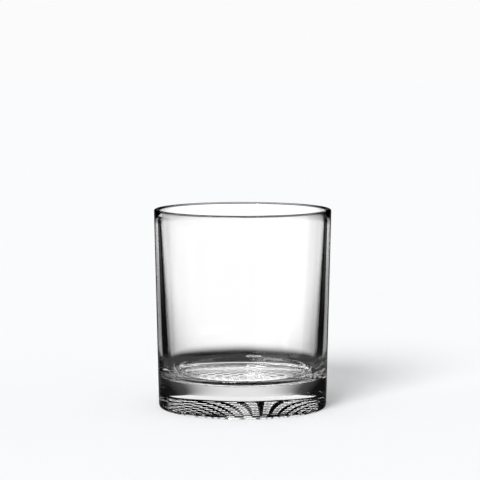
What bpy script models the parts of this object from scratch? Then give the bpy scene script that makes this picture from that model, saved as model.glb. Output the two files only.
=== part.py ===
"""Whiskey tumbler: one piece of pressed clear glass, open at the top.

The body is a turned solid with a slight taper, a fire-polished rim, a wall that
thickens downwards, a thick base and a rounded heel. Under the base is a narrow
standing ring, and inside it a recessed flat ground with a lattice of low round
studs. The studs stop short of the ring, so the glass stands on the ring alone.

Frame: metres, +Z up along the axis of the glass. The origin is the centre of
the circle that the glass stands on.
"""
import math

import bmesh
import bpy
from mathutils import Matrix, Vector, geometry

# Outer form
HEIGHT = 0.0905
RIM_RADIUS = 0.0403
BASE_RADIUS = 0.0383
HEEL_HEIGHT = 0.0016
HEEL_INSET = 0.0010

# Wall, rim and inside. Below the shoulder the wall thickens into the fillet.
WALL_AT_RIM = 0.0027
WALL_AT_FLOOR = 0.0050
RIM_CROWN = 0.0008
FLOOR_HEIGHT = 0.0135
FILLET_WIDTH = 0.0066
FILLET_RISE = 0.0056
FILLET_START = math.radians(-5.0)
SHOULDER_HEIGHT = 0.0275
SHOULDER_THICKENING = 0.00032

# Standing ring, and the ground inside it
RING_WIDTH = 0.0008
RING_STEP_WIDTH = 0.0001
GROUND_HEIGHT = 0.0008
GROUND_RADIUS = BASE_RADIUS - HEEL_INSET - RING_WIDTH - RING_STEP_WIDTH

# Studs, on every other point of a square grid
STUD_GRID = 0.0036
STUD_GRID_TURN = math.radians(4.0)
STUD_RADIUS = 0.0011
STUD_HEIGHT = 0.00015
STUD_SIDES = 8
STUD_RING_SHARES = (0.55, 1.0)

# Smoothness of the turned surface, as edges in each stretch
TURN_STEPS = 100
FILLET_EDGES = 6
SHOULDER_EDGES = 3
RIM_EDGES = 6
HEEL_EDGES = 3

DOWN = -math.pi / 2
MERGE_DISTANCE = 0.00001
SHARP_ANGLE = math.radians(30.0)
GLASS_COLOUR = (0.95, 0.97, 0.97, 1.0)
GLASS_ROUGHNESS = 0.02
GLASS_IOR = 1.52


def blend(start, end, share):
    """The value a given share of the way from start to end."""
    return start + (end - start) * share


def outer_radius(z):
    """Radius of the outer wall, a straight taper from the heel to the rim."""
    share = (z - HEEL_HEIGHT) / (HEIGHT - RIM_CROWN - HEEL_HEIGHT)
    return blend(BASE_RADIUS, RIM_RADIUS, share)


def shoulder(z):
    """Extra wall thickness where the inside starts to curve in towards the floor."""
    depth = max(0.0, SHOULDER_HEIGHT - z) / (SHOULDER_HEIGHT - FLOOR_HEIGHT - FILLET_RISE)
    return SHOULDER_THICKENING * depth ** 3


def inner_radius(z):
    """Radius of the inner wall, so that the wall thickens towards the floor."""
    share = (z - FLOOR_HEIGHT) / (HEIGHT - RIM_CROWN - FLOOR_HEIGHT)
    return outer_radius(z) - blend(WALL_AT_FLOOR, WALL_AT_RIM, share) - shoulder(z)


def arc(centre, radii, start, end, edges):
    """Points (radius, z) on an elliptical arc, both end angles included."""
    points = []
    for step in range(edges + 1):
        angle = blend(start, end, step / edges)
        points.append((centre[0] + radii[0] * math.cos(angle),
                       centre[1] + radii[1] * math.sin(angle)))
    return points


def body_profile():
    """Half section of the glass, from the inner floor over the rim to the ground."""
    fillet_top = FLOOR_HEIGHT + FILLET_RISE * (1 + math.sin(FILLET_START))
    fillet_centre = (inner_radius(fillet_top) - FILLET_WIDTH * math.cos(FILLET_START),
                     FLOOR_HEIGHT + FILLET_RISE)
    points = [(0.0, FLOOR_HEIGHT)]
    points += arc(fillet_centre, (FILLET_WIDTH, FILLET_RISE), DOWN, FILLET_START, FILLET_EDGES)

    for step in range(1, SHOULDER_EDGES + 1):
        z = blend(fillet_top, SHOULDER_HEIGHT, step / SHOULDER_EDGES)
        points.append((inner_radius(z), z))

    rim_centre = (RIM_RADIUS - WALL_AT_RIM / 2, HEIGHT - RIM_CROWN)
    points += arc(rim_centre, (WALL_AT_RIM / 2, RIM_CROWN), math.pi, 0.0, RIM_EDGES)

    heel_centre = (BASE_RADIUS - HEEL_INSET, HEEL_HEIGHT)
    points += arc(heel_centre, (HEEL_INSET, HEEL_HEIGHT), 0.0, DOWN, HEEL_EDGES)

    points.append((BASE_RADIUS - HEEL_INSET - RING_WIDTH, 0.0))
    points.append((GROUND_RADIUS, GROUND_HEIGHT))
    return points


def turned_body(name, profile):
    """Turn a half section about +Z and return the object with its finished mesh."""
    mesh = bpy.data.meshes.new(name + "_profile")
    vertices = [(radius, 0.0, z) for radius, z in profile]
    edges = [(index, index + 1) for index in range(len(vertices) - 1)]
    mesh.from_pydata(vertices, edges, [])
    body = bpy.data.objects.new(name, mesh)
    collection = bpy.data.collections.new("whiskey_tumbler")
    bpy.context.scene.collection.children.link(collection)
    collection.objects.link(body)

    screw = body.modifiers.new("turn", "SCREW")
    screw.axis = "Z"
    screw.steps = TURN_STEPS
    screw.render_steps = TURN_STEPS
    screw.use_merge_vertices = True
    screw.merge_threshold = MERGE_DISTANCE

    evaluated = body.evaluated_get(bpy.context.evaluated_depsgraph_get())
    turned = bpy.data.meshes.new_from_object(evaluated)
    turned.name = name
    body.modifiers.clear()
    body.data = turned
    bpy.data.meshes.remove(mesh)
    return body


def stud_centres():
    """Centres of the studs, on every other point of the grid, whole studs only."""
    centres = []
    reach = int(GROUND_RADIUS / STUD_GRID) + 1
    for column in range(-reach, reach + 1):
        for row in range(-reach, reach + 1):
            centre = Vector((column, row)) * STUD_GRID
            if (column + row) % 2 == 0 and centre.length < GROUND_RADIUS - STUD_RADIUS:
                centres.append(Matrix.Rotation(STUD_GRID_TURN, 2) @ centre)
    return centres


def stud_points(centre):
    """Points (x, y, z) of one domed stud, which hangs below the ground."""
    points = [(centre.x, centre.y, GROUND_HEIGHT - STUD_HEIGHT)]
    for share in STUD_RING_SHARES:
        z = GROUND_HEIGHT - STUD_HEIGHT * (1 - share * share)
        for side in range(STUD_SIDES):
            angle = math.tau * side / STUD_SIDES
            points.append((centre.x + STUD_RADIUS * share * math.cos(angle),
                           centre.y + STUD_RADIUS * share * math.sin(angle), z))
    return points


def close_underside(mesh):
    """Close the open underside with the flat ground and its studs."""
    work = bmesh.new()
    work.from_mesh(mesh)
    edge = [vertex for vertex in work.verts if vertex.is_boundary]
    edge.sort(key=lambda vertex: math.atan2(vertex.co.y, vertex.co.x))
    points = [vertex.co.to_tuple() for vertex in edge]
    for centre in stud_centres():
        points += stud_points(centre)
    outline = [(step, (step + 1) % len(edge)) for step in range(len(edge))]
    flat = [Vector((x, y)) for x, y, z in points]
    result = geometry.delaunay_2d_cdt(flat, outline, [], 1, MERGE_DISTANCE)

    corners = []
    for sources in result[3]:
        source = sources[0]
        corners.append(edge[source] if source < len(edge) else work.verts.new(points[source]))
    for first, second, third in result[2]:
        work.faces.new((corners[third], corners[second], corners[first]))
    work.to_mesh(mesh)
    work.free()


def clear_glass():
    """Colourless soda-lime glass, polished."""
    material = bpy.data.materials.new("clear_glass")
    material.use_nodes = True
    shader = material.node_tree.nodes["Principled BSDF"]
    shader.inputs["Base Color"].default_value = GLASS_COLOUR
    shader.inputs["Roughness"].default_value = GLASS_ROUGHNESS
    shader.inputs["Metallic"].default_value = 0.0
    shader.inputs["IOR"].default_value = GLASS_IOR
    shader.inputs["Transmission Weight"].default_value = 1.0
    return material


def build():
    """Make the tumbler in an empty scene."""
    for item in list(bpy.data.objects):
        bpy.data.objects.remove(item, do_unlink=True)
    body = turned_body("tumbler_glass", body_profile())
    close_underside(body.data)
    body.data.materials.append(clear_glass())
    body.data.shade_smooth()
    body.data.set_sharp_from_angle(angle=SHARP_ANGLE)


build()
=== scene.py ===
"""The looks of the whiskey tumbler: fine glass surface, material, studio, camera.

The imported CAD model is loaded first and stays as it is. One turned mesh, much
finer than the CAD solid, stands for the glass. It has the same sizes, and adds
what only light shows: a round rim, smooth fillets and round studs under the
base. The material adds the faint waves of pressed glass.

Lengths are in metres. The frame is the CAD frame: +Z up along the axis, with
the origin where the glass stands.
"""

import math

import bmesh
import bpy
from mathutils import Matrix, Vector, geometry


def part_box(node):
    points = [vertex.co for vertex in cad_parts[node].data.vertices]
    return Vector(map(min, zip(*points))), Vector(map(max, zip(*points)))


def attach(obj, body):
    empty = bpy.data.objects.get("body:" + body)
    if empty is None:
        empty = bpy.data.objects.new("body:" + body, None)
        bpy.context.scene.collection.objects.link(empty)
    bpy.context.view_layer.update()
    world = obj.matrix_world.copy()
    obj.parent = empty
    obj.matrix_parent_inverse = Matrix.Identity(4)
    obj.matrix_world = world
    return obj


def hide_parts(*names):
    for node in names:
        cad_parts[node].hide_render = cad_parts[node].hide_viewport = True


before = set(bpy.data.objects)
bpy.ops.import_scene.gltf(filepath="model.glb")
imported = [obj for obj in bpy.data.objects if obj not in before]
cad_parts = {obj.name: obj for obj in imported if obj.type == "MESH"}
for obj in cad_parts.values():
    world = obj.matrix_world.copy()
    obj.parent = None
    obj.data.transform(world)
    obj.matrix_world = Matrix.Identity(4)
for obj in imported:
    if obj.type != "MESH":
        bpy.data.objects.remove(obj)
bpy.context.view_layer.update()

NODE = "tumbler_glass"

# Outer form, from the CAD box
LOW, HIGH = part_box(NODE)
HEIGHT = HIGH.z - LOW.z
RIM_RADIUS = (HIGH.x - LOW.x) / 2
TAPER = 0.0020
BASE_RADIUS = RIM_RADIUS - TAPER
HEEL_HEIGHT = 0.0016
HEEL_INSET = 0.0010

# Wall, rim and inside
WALL_AT_RIM = 0.0027
WALL_AT_FLOOR = 0.0050
RIM_CROWN = 0.0008
FLOOR_HEIGHT = 0.0135
FILLET_WIDTH = 0.0066
FILLET_RISE = 0.0056
FILLET_START = math.radians(-5.0)
SHOULDER_HEIGHT = 0.0275
SHOULDER_THICKENING = 0.00032

# Standing ring, and the studs on the recessed underside
RING_WIDTH = 0.0008
RING_STEP_WIDTH = 0.0001
GROUND_HEIGHT = 0.0008
GROUND_RADIUS = BASE_RADIUS - HEEL_INSET - RING_WIDTH - RING_STEP_WIDTH
STUD_RADIUS = 0.0011
STUD_HEIGHT = 0.00015
STUD_GRID = 0.0036
STUD_GRID_TURN = math.radians(4.0)
STUD_RINGS = 6
SIDES_PER_RING = 6

# Smoothness of the turned surface, as edges in each stretch
TURN_STEPS = 480
FLOOR_EDGES = 12
FILLET_EDGES = 24
WALL_EDGES = 24
RIM_EDGES = 18
HEEL_EDGES = 12
MERGE_DISTANCE = 0.000001

# Camera
CAMERA_PLACE = Vector((-0.0012, -1.033, 0.174))
CAMERA_DIP = math.radians(5.41)
CAMERA_LENS = 171.0
CAMERA_SENSOR = 36.0

# Materials. A noise has a scale and a detail, and a bump has a strength and a
# distance. The haze rises from nought where its noise crosses the span.
WHITE = (1.0, 1.0, 1.0, 1.0)
BLACK = (0.0, 0.0, 0.0, 1.0)
GLASS_IOR = 1.52
GLASS_DENSITY = 4.2
HAZE_NOISE = (90.0, 3.0)
HAZE_SPAN = (0.45, 0.75)
HAZE_ROUGHNESS = 0.012
WAVE_NOISE = (55.0, 1.0)
WAVE_BUMP = (0.15, 0.0001)
PAPER_DARK = (0.888, 0.895, 0.902, 1.0)
PAPER_LIGHT = (0.898, 0.905, 0.912, 1.0)
PAPER_ROUGHNESS = 0.9
PAPER_NOISE = (9.0, 4.0)
GRAIN_NOISE = (900.0, 3.0)
GRAIN_BUMP = (0.1, 0.00005)

# Floor, camera background and key light
FLOOR_SIZE = 12.0
FLOOR_DEPTH = 0.00005
SKY_WHITE = 0.965
FLOOR_SKY = 0.57
KEY_ANGLE = math.radians(26.0)
KEY_STRENGTH = 2.75
KEY_TILT = math.radians(55.0)
KEY_TURN = math.radians(-22.0)
LIGHT_BOUNCES = 24

# The table as the glass sees it, as a glowing disc: its glow is painted light,
# painted shade and a painted reflection on the table. A slant is nought straight
# down and one along the table. A reach is in millimetres out from MIRROR_START,
# and a spread is in degrees to the side for each of them. A pair is where a soft
# step begins and ends, but DOWN_SLANT is a band, and TAIL_STRENGTHS are what
# that step joins.
TABLE_GLOW_RADIUS = 0.100
TABLE_GLOW_DEPTH = 0.00003
TABLE_GLOW_SIDES = 128
SLANT_BLEND = 0.5
UNDER_RADIUS = (0.0362, 0.0364)
MIDDLE_RADIUS = (0.0180, 0.0300)
MIDDLE_SLANT = (0.30, 0.65)
MIDDLE_STRENGTH = 1.6
REST_SLANT = (0.55, 0.70)
REST_STRENGTH = 0.6
LOW_SLANT = (0.79, 0.83)
STEEP_STRENGTH = 0.045
DOWN_SLANT = (0.17, 0.25)
DOWN_SOFTNESS = 0.02
MILLIMETRES = 1000.0
LEAST_REACH = 1.0
MIRROR_START = 0.044
MIRROR_SPREAD = (0.01, 0.38)
MIRROR_STRENGTH = 1.05
TAIL_SPREAD = (0.2, 0.8)
TAIL_STRENGTHS = (0.11, 0.01)
STRIP_RADIUS = (0.0575, 0.0595)
STRIP_SIDE = (3.2, 4.6)
STRIP_STRENGTH = 1.3

# Lit panels as the glass sees them, in degrees. A slope is the change for each
# degree to the side.
PANEL_TURNS = (0.0, -90.0)
PANEL_STRENGTH = 1.22
PANEL_FOOT = (-13.5, -10.2)
PANEL_FOOT_SLOPE = 0.13
PANEL_HEAD = (5.0, 8.0)
PANEL_HEAD_SLOPE = 0.45
PANEL_SIDE = (24.0, 27.0)
PANEL_DIM = (-11.5, -9.0)
PANEL_DIM_SLOPE = 0.029

# Lit bands all round: strength, lower and upper pitch, softness. They are the
# nearer table, the farther table, and a dome overhead.
LIT_BANDS = (
    (0.7, -56.0, -33.0, 2.0),
    (0.05, -33.0, -15.0, 2.0),
    (1.6, 41.0, 75.0, 3.0),
)

# Lit patches: strength, turn, the two sides that it fades between, then as for
# a band. They are two light tables and a lamp high behind the glass.
LIT_PATCHES = (
    (1.1, -45.0, (23.0, 27.0), -38.0, -18.0, 1.0),
    (1.1, 135.0, (23.0, 27.0), -28.0, -11.0, 1.0),
    (3.0, 0.0, (55.0, 62.0), 21.0, 28.0, 1.0),
)
REFLECTED_SHARE = 0.05


# ---------------------------------------------------------------- glass shape

def blend(start, end, share):
    """The value a given share of the way from start to end."""
    return start + (end - start) * share


def outer_radius(z):
    """Radius of the outer wall, a straight taper from the heel to the rim."""
    share = (z - HEEL_HEIGHT) / (HEIGHT - RIM_CROWN - HEEL_HEIGHT)
    return blend(BASE_RADIUS, RIM_RADIUS, share)


def shoulder(z):
    """Extra wall thickness where the inside starts to curve in towards the floor."""
    depth = max(0.0, SHOULDER_HEIGHT - z) / (SHOULDER_HEIGHT - FLOOR_HEIGHT - FILLET_RISE)
    return SHOULDER_THICKENING * depth ** 3


def inner_radius(z):
    """Radius of the inner wall, so that the wall thickens towards the floor."""
    share = (z - FLOOR_HEIGHT) / (HEIGHT - RIM_CROWN - FLOOR_HEIGHT)
    return outer_radius(z) - blend(WALL_AT_FLOOR, WALL_AT_RIM, share) - shoulder(z)


def arc(centre, radii, start, end, edges):
    """Points (radius, z) on an elliptical arc, both end angles included."""
    points = []
    for step in range(edges + 1):
        angle = blend(start, end, step / edges)
        points.append((centre[0] + radii[0] * math.cos(angle),
                       centre[1] + radii[1] * math.sin(angle)))
    return points


def line(start, end, edges):
    """Points from start to end, without either end."""
    points = []
    for step in range(1, edges):
        share = step / edges
        points.append((blend(start[0], end[0], share), blend(start[1], end[1], share)))
    return points


def body_profile():
    """Half section of the glass, from the inner floor over the rim to the underside."""
    down = -math.pi / 2
    fillet_top = FLOOR_HEIGHT + FILLET_RISE * (1 + math.sin(FILLET_START))
    fillet_centre = (inner_radius(fillet_top) - FILLET_WIDTH * math.cos(FILLET_START),
                     FLOOR_HEIGHT + FILLET_RISE)
    fillet = arc(fillet_centre, (FILLET_WIDTH, FILLET_RISE), down, FILLET_START, FILLET_EDGES)
    rim_centre = (RIM_RADIUS - WALL_AT_RIM / 2, HEIGHT - RIM_CROWN)
    rim = arc(rim_centre, (WALL_AT_RIM / 2, RIM_CROWN), math.pi, 0.0, RIM_EDGES)
    heel_centre = (BASE_RADIUS - HEEL_INSET, HEEL_HEIGHT)
    heel = arc(heel_centre, (HEEL_INSET, HEEL_HEIGHT), 0.0, down, HEEL_EDGES)

    wall = []
    for step in range(1, WALL_EDGES):
        z = blend(fillet_top, rim_centre[1], (step / WALL_EDGES) ** 2)
        wall.append((inner_radius(z), z))

    centre = (0.0, FLOOR_HEIGHT)
    points = [centre] + line(centre, fillet[0], FLOOR_EDGES)
    points += fillet + wall + rim
    points += line(rim[-1], heel[0], WALL_EDGES) + heel
    points.append((BASE_RADIUS - HEEL_INSET - RING_WIDTH, 0.0))
    points.append((GROUND_RADIUS, GROUND_HEIGHT))
    return points


def turned_object(name, profile):
    """Turn a half section about +Z and return the object with its finished mesh."""
    mesh = bpy.data.meshes.new(name + "_profile")
    edges = [(index, index + 1) for index in range(len(profile) - 1)]
    mesh.from_pydata([(radius, 0.0, z) for radius, z in profile], edges, [])
    body = bpy.data.objects.new(name, mesh)
    bpy.context.scene.collection.objects.link(body)

    screw = body.modifiers.new("turn", "SCREW")
    screw.axis = "Z"
    screw.steps = TURN_STEPS
    screw.render_steps = TURN_STEPS
    screw.use_merge_vertices = True
    screw.merge_threshold = MERGE_DISTANCE

    evaluated = body.evaluated_get(bpy.context.evaluated_depsgraph_get())
    turned = bpy.data.meshes.new_from_object(evaluated)
    turned.name = name
    body.modifiers.clear()
    body.data = turned
    bpy.data.meshes.remove(mesh)
    return body


def stud_centres():
    """Centres of the studs, on every other point of a square grid, whole studs only."""
    centres = []
    reach = int(GROUND_RADIUS / STUD_GRID) + 1
    for column in range(-reach, reach + 1):
        for row in range(-reach, reach + 1):
            centre = Vector((column, row)) * STUD_GRID
            if (column + row) % 2 == 0 and centre.length < GROUND_RADIUS - STUD_RADIUS:
                centres.append(Matrix.Rotation(STUD_GRID_TURN, 2) @ centre)
    return centres


def stud_points(centre):
    """Points (x, y, z) of one domed stud, which hangs below the ground."""
    points = [(centre.x, centre.y, GROUND_HEIGHT - STUD_HEIGHT)]
    for ring in range(1, STUD_RINGS + 1):
        share = ring / STUD_RINGS
        z = GROUND_HEIGHT - STUD_HEIGHT * (1 - share * share)
        for step in range(SIDES_PER_RING * ring):
            angle = math.tau * step / (SIDES_PER_RING * ring)
            points.append((centre.x + STUD_RADIUS * share * math.cos(angle),
                           centre.y + STUD_RADIUS * share * math.sin(angle), z))
    return points


def close_underside(mesh):
    """Close the open underside with the flat ground and its studs."""
    work = bmesh.new()
    work.from_mesh(mesh)
    edge = [vertex for vertex in work.verts if vertex.is_boundary]
    edge.sort(key=lambda vertex: math.atan2(vertex.co.y, vertex.co.x))
    points = [vertex.co.to_tuple() for vertex in edge]
    for centre in stud_centres():
        points += stud_points(centre)
    outline = [(step, (step + 1) % len(edge)) for step in range(len(edge))]
    flat = [Vector((x, y)) for x, y, z in points]
    result = geometry.delaunay_2d_cdt(flat, outline, [], 1, MERGE_DISTANCE)
    corners = []
    for sources in result[3]:
        source = sources[0]
        corners.append(edge[source] if source < len(edge) else work.verts.new(points[source]))
    for first, second, third in result[2]:
        work.faces.new((corners[third], corners[second], corners[first]))
    work.to_mesh(mesh)
    work.free()


def make_glass():
    """The tumbler's fine surface, standing for the CAD solid."""
    body = turned_object("tumbler_glass_surface", body_profile())
    close_underside(body.data)
    body.data.materials.append(glass_material())
    body.data.shade_smooth()
    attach(body, "root")
    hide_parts(NODE)


# ------------------------------------------------------------------ materials

def add_node(tree, kind, **values):
    """A new shader node with its properties set."""
    node = tree.nodes.new(kind)
    for key, value in values.items():
        setattr(node, key, value)
    return node


def math_node(tree, operation, *values):
    """The output of a Math node, whose inputs are sockets or numbers."""
    node = add_node(tree, "ShaderNodeMath", operation=operation)
    for socket, value in zip(node.inputs, values):
        if isinstance(value, (int, float)):
            socket.default_value = value
        else:
            tree.links.new(value, socket)
    return node.outputs["Value"]


def map_range(tree, value, from_low, from_high, to_low, to_high):
    """A smooth step between two values."""
    node = add_node(tree, "ShaderNodeMapRange", interpolation_type="SMOOTHSTEP")
    tree.links.new(value, node.inputs["Value"])
    node.inputs["From Min"].default_value = from_low
    node.inputs["From Max"].default_value = from_high
    node.inputs["To Min"].default_value = to_low
    node.inputs["To Max"].default_value = to_high
    return node.outputs["Result"]


def split_angles(tree, direction):
    """Turn from the back and pitch above the horizon of a direction, in degrees."""
    split = add_node(tree, "ShaderNodeSeparateXYZ")
    tree.links.new(direction, split.inputs["Vector"])
    turn = math_node(tree, "ARCTAN2", split.outputs["X"], split.outputs["Y"])
    pitch = math_node(tree, "ARCSINE", split.outputs["Z"])
    return math_node(tree, "DEGREES", turn), math_node(tree, "DEGREES", pitch)


def product(tree, *factors):
    """The product of several sockets or numbers."""
    result = factors[0]
    for factor in factors[1:]:
        result = math_node(tree, "MULTIPLY", result, factor)
    return result


def brightest(tree, *sources):
    """The largest of several sockets."""
    result = sources[0]
    for source in sources[1:]:
        result = math_node(tree, "MAXIMUM", result, source)
    return result


def band(tree, value, low, high, soft):
    """One between two limits and nought outside them, with soft edges."""
    rise = map_range(tree, value, low - soft, low + soft, 0.0, 1.0)
    fall = map_range(tree, value, high - soft, high + soft, 1.0, 0.0)
    return product(tree, rise, fall)


def choose(tree, when, yes, no):
    """One of two strengths, or a mix of them, by a value from nought to one."""
    node = add_node(tree, "ShaderNodeMix", data_type="FLOAT")
    tree.links.new(when, node.inputs["Factor"])
    for name, value in (("A", no), ("B", yes)):
        if isinstance(value, (int, float)):
            node.inputs[name].default_value = value
        else:
            tree.links.new(value, node.inputs[name])
    return node.outputs["Result"]


def away(tree, turn, centre):
    """How far a turn is from a given one, either way."""
    return math_node(tree, "ABSOLUTE", math_node(tree, "SUBTRACT", turn, centre))


def noise(tree, scale, detail):
    """Noise from nought to one, fixed to the object."""
    place = add_node(tree, "ShaderNodeTexCoord").outputs["Object"]
    node = add_node(tree, "ShaderNodeTexNoise")
    tree.links.new(place, node.inputs["Vector"])
    node.inputs["Scale"].default_value = scale
    node.inputs["Detail"].default_value = detail
    return node.outputs["Fac"]


def bump(tree, height, strength, distance):
    """A shading normal moved by a height."""
    node = add_node(tree, "ShaderNodeBump")
    tree.links.new(height, node.inputs["Height"])
    node.inputs["Strength"].default_value = strength
    node.inputs["Distance"].default_value = distance
    return node.outputs["Normal"]


def glass_material():
    """Colourless soda-lime glass, fire-polished, with faint waves and handling haze."""
    material = bpy.data.materials.new("clear_pressed_glass")
    material.use_nodes = True
    tree = material.node_tree
    shader = tree.nodes["Principled BSDF"]
    shader.inputs["Base Color"].default_value = WHITE
    shader.inputs["IOR"].default_value = GLASS_IOR
    shader.inputs["Transmission Weight"].default_value = 1.0
    haze = map_range(tree, noise(tree, *HAZE_NOISE), *HAZE_SPAN, 0.0, HAZE_ROUGHNESS)
    tree.links.new(haze, shader.inputs["Roughness"])
    waves = bump(tree, noise(tree, *WAVE_NOISE), *WAVE_BUMP)
    tree.links.new(waves, shader.inputs["Normal"])
    volume = add_node(tree, "ShaderNodeVolumeAbsorption")
    volume.inputs["Color"].default_value = BLACK
    volume.inputs["Density"].default_value = GLASS_DENSITY
    tree.links.new(volume.outputs["Volume"], tree.nodes["Material Output"].inputs["Volume"])
    return material


def floor_material():
    """Pale matt studio paper with a fine grain."""
    material = bpy.data.materials.new("studio_paper")
    material.use_nodes = True
    tree = material.node_tree
    shader = tree.nodes["Principled BSDF"]
    shader.inputs["Roughness"].default_value = PAPER_ROUGHNESS
    shader.inputs["Specular IOR Level"].default_value = 0.0
    shade = add_node(tree, "ShaderNodeMix", data_type="RGBA")
    shade.inputs["A"].default_value = PAPER_DARK
    shade.inputs["B"].default_value = PAPER_LIGHT
    tree.links.new(noise(tree, *PAPER_NOISE), shade.inputs["Factor"])
    tree.links.new(shade.outputs["Result"], shader.inputs["Base Color"])
    grain = bump(tree, noise(tree, *GRAIN_NOISE), *GRAIN_BUMP)
    tree.links.new(grain, shader.inputs["Normal"])
    return material


def under_light(tree, slant, radius):
    """Painted light of the table under the glass, on the glowing disc: bright in the middle, for
    slanting rays.
    """
    # Painted light under the middle of the glass, and dimmer painted light round it.
    middle = product(tree, map_range(tree, slant, *MIDDLE_SLANT, 0.0, MIDDLE_STRENGTH),
                     map_range(tree, radius, *MIDDLE_RADIUS, 1.0, 0.0))
    rest = product(tree, map_range(tree, slant, *REST_SLANT, 0.0, REST_STRENGTH),
                   map_range(tree, radius, *MIDDLE_RADIUS, 0.0, 1.0))
    return brightest(tree, middle, rest)


def around_light(tree, slant, radius, side):
    """Painted light and shade of the table round the glass, on the glowing disc.

    Low rays see a bright wedge behind the glass, a painted reflection which gets
    wider with distance, and a narrow painted bright strip close to the glass. Rays
    between 34 and 41 degrees from straight down see the table bright, and the
    other steep rays see it dark: painted light and painted shade.
    """
    reach = product(tree, math_node(tree, "SUBTRACT", radius, MIRROR_START), MILLIMETRES)
    spread = math_node(tree, "DIVIDE", side, math_node(tree, "MAXIMUM", reach, LEAST_REACH))
    # A painted reflection: a bright wedge behind the glass that widens with distance.
    painted_reflection = math_node(tree, "ADD", map_range(tree, spread, *MIRROR_SPREAD, MIRROR_STRENGTH, 0.0),
                       map_range(tree, spread, *TAIL_SPREAD, *TAIL_STRENGTHS))
    strip = product(tree, map_range(tree, radius, *STRIP_RADIUS, STRIP_STRENGTH, 0.0),
                    map_range(tree, side, *STRIP_SIDE, 1.0, 0.0))
    low = product(tree, map_range(tree, slant, *LOW_SLANT, 0.0, 1.0),
                  brightest(tree, painted_reflection, strip))
    # Painted shade for the steep rays, and a band of painted light among them.
    steep = map_range(tree, slant, *LOW_SLANT, STEEP_STRENGTH, 0.0)
    down = band(tree, slant, *DOWN_SLANT, DOWN_SOFTNESS)
    return brightest(tree, low, down, steep)


def table_glow_material():
    """Painted light, shade and reflection that the glass gets from the table under and round it,
    as the glow of a disc.
    """
    material = bpy.data.materials.new("table_glow_disc")
    material.use_nodes = True
    tree = material.node_tree
    shader = tree.nodes["Principled BSDF"]
    shader.inputs["Base Color"].default_value = BLACK
    shader.inputs["Roughness"].default_value = 1.0
    shader.inputs["Specular IOR Level"].default_value = 0.0
    shader.inputs["Emission Color"].default_value = WHITE

    # The glow is chosen by the slant of the ray that reaches the disc and by place: painted
    # light, shade and reflection.
    facing = add_node(tree, "ShaderNodeLayerWeight")
    facing.inputs["Blend"].default_value = SLANT_BLEND
    slant = facing.outputs["Facing"]
    place = add_node(tree, "ShaderNodeTexCoord").outputs["Object"]
    length = add_node(tree, "ShaderNodeVectorMath", operation="LENGTH")
    tree.links.new(place, length.inputs[0])
    radius = length.outputs["Value"]
    turn = split_angles(tree, place)[0]
    side = away(tree, turn, 0.0)

    strength = choose(tree, map_range(tree, radius, *UNDER_RADIUS, 0.0, 1.0),
                      around_light(tree, slant, radius, side),
                      under_light(tree, slant, radius))
    tree.links.new(strength, shader.inputs["Emission Strength"])
    return material


# --------------------------------------------------------------------- studio

def make_floor():
    """A large flat floor, and a glowing disc under the glass that only refracted rays see, which
    paints the table's light and shade.
    """
    bpy.ops.mesh.primitive_plane_add(size=FLOOR_SIZE, location=(0.0, 0.0, -FLOOR_DEPTH))
    floor = bpy.context.object
    floor.name = "studio_floor"
    floor.data.materials.append(floor_material())
    floor.visible_transmission = False
    floor.visible_glossy = False

    # A disc that glows with painted light, painted shade and a painted reflection of the table,
    # seen only through the glass.
    bpy.ops.mesh.primitive_circle_add(vertices=TABLE_GLOW_SIDES, radius=TABLE_GLOW_RADIUS,
                                      fill_type="NGON", location=(0.0, 0.0, -TABLE_GLOW_DEPTH))
    table = bpy.context.object
    table.name = "table_glow_disc"
    table.data.materials.append(table_glow_material())
    table.visible_camera = False
    table.visible_diffuse = False
    table.visible_glossy = False
    table.visible_shadow = False


def panel(tree, side, pitch):
    """A wide lit panel. To the sides its foot and head are lower, and its foot is dimmer."""
    foot = math_node(tree, "ADD", pitch, product(tree, side, PANEL_FOOT_SLOPE))
    head = math_node(tree, "ADD", pitch, product(tree, side, PANEL_HEAD_SLOPE))
    loss = product(tree, side, map_range(tree, pitch, *PANEL_DIM, PANEL_DIM_SLOPE, 0.0))
    return product(tree, math_node(tree, "SUBTRACT", 1.0, loss),
                   map_range(tree, foot, *PANEL_FOOT, 0.0, PANEL_STRENGTH),
                   map_range(tree, head, *PANEL_HEAD, 1.0, 0.0),
                   map_range(tree, side, *PANEL_SIDE, 1.0, 0.0))


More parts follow.
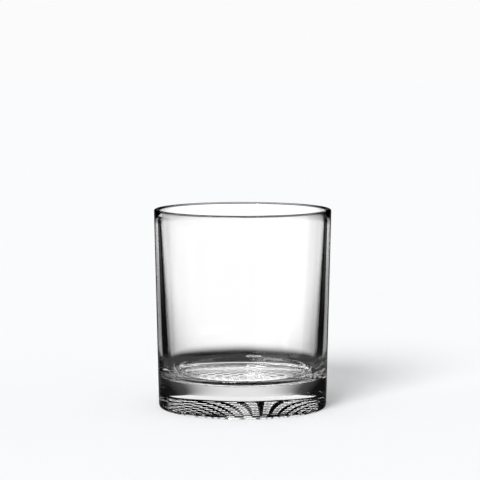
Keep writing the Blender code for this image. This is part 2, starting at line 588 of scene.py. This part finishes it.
def make_world():
    """White all round for the camera, and lit panels with dark gaps for the glass.

    Angles are in degrees, turned from straight behind the glass and pitched up
    from the horizon. A side is how far a turn is from the middle of a panel.
    The glass refracts this light in full and reflects only a small share of it.
    """
    world = bpy.data.worlds.new("studio")
    bpy.context.scene.world = world
    world.cycles.sampling_method = "NONE"
    world.use_nodes = True
    tree = world.node_tree
    tree.nodes.clear()
    coordinates = add_node(tree, "ShaderNodeTexCoord")
    turn, pitch = split_angles(tree, coordinates.outputs["Generated"])
    sources = [panel(tree, away(tree, turn, centre), pitch) for centre in PANEL_TURNS]
    for strength, lower, upper, softness in LIT_BANDS:
        sources.append(product(tree, strength, band(tree, pitch, lower, upper, softness)))
    for strength, centre, side, lower, upper, softness in LIT_PATCHES:
        sources.append(product(tree, strength, band(tree, pitch, lower, upper, softness),
                               map_range(tree, away(tree, turn, centre), *side, 1.0, 0.0)))
    lit = brightest(tree, *sources)

    path = add_node(tree, "ShaderNodeLightPath")
    reflected = product(tree, REFLECTED_SHARE, lit)
    strength = choose(tree, path.outputs["Is Reflection Ray"], reflected, lit)
    strength = choose(tree, path.outputs["Is Diffuse Ray"], FLOOR_SKY, strength)
    strength = choose(tree, path.outputs["Is Camera Ray"], SKY_WHITE, strength)
    background = add_node(tree, "ShaderNodeBackground")
    background.inputs["Color"].default_value = WHITE
    tree.links.new(strength, background.inputs["Strength"])
    output = add_node(tree, "ShaderNodeOutputWorld")
    tree.links.new(background.outputs["Background"], output.inputs["Surface"])


def make_key():
    """Soft key light from the left and front, which throws the shadow to the right."""
    lamp = bpy.data.lights.new("key", "SUN")
    lamp.angle = KEY_ANGLE
    lamp.energy = KEY_STRENGTH
    key = bpy.data.objects.new("key", lamp)
    key.rotation_euler = (KEY_TILT, 0.0, KEY_TURN)
    bpy.context.scene.collection.objects.link(key)


def make_camera():
    """A long lens, a little above the rim."""
    data = bpy.data.cameras.new("camera")
    data.lens = CAMERA_LENS
    data.sensor_width = CAMERA_SENSOR
    camera = bpy.data.objects.new("camera", data)
    camera.location = CAMERA_PLACE
    camera.rotation_euler = (math.pi / 2 - CAMERA_DIP, 0.0, 0.0)
    bpy.context.scene.collection.objects.link(camera)
    bpy.context.scene.camera = camera


def set_view():
    """Plain colours, and enough bounces for light to cross the glass."""
    scene = bpy.context.scene
    scene.view_settings.view_transform = "Standard"
    scene.view_settings.look = "None"
    scene.cycles.max_bounces = LIGHT_BOUNCES
    scene.cycles.transmission_bounces = LIGHT_BOUNCES
    scene.cycles.glossy_bounces = LIGHT_BOUNCES
    scene.cycles.transparent_max_bounces = LIGHT_BOUNCES


make_camera()
make_glass()
make_floor()
make_world()
make_key()
set_view()
